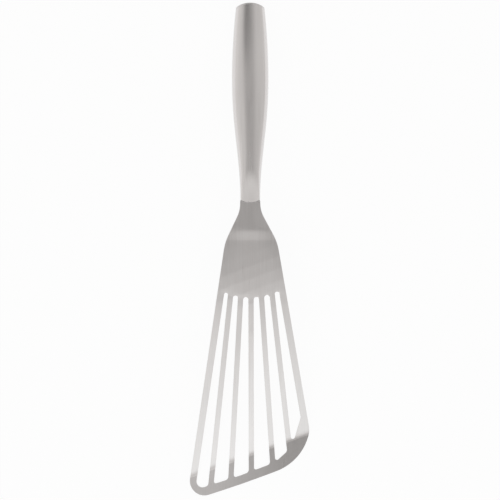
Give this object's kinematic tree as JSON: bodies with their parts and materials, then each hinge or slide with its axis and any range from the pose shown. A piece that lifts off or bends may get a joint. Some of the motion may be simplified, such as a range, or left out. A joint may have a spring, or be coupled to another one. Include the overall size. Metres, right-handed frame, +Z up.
{
  "type": "fish spatula",
  "caption": "Slotted fish spatula with a slanted front edge, a curved and bent steel blade, and a hollow oval steel handle.",
  "frame": {"origin": "on the table, under the middle of the spatula's length, on the handle's centre line", "axes": "+Y points to the butt of the handle, +Z up from the table, +X to the right seen from above with the handle away"},
  "size_m": [0.08, 0.3298, 0.0255],
  "materials": {
    "blade_steel": "brushed along the blade",
    "handle_steel": "satin, brushed along the handle",
    "cap_steel": "satin",
    "plug_steel": "satin"
  },
  "bodies": {
    "root": {"blade": "blade_steel", "mouth_plug": "plug_steel", "handle_top_shell": "handle_steel", "handle_bottom_shell": "handle_steel", "butt_cap": "cap_steel"}
  },
  "joints": []
}
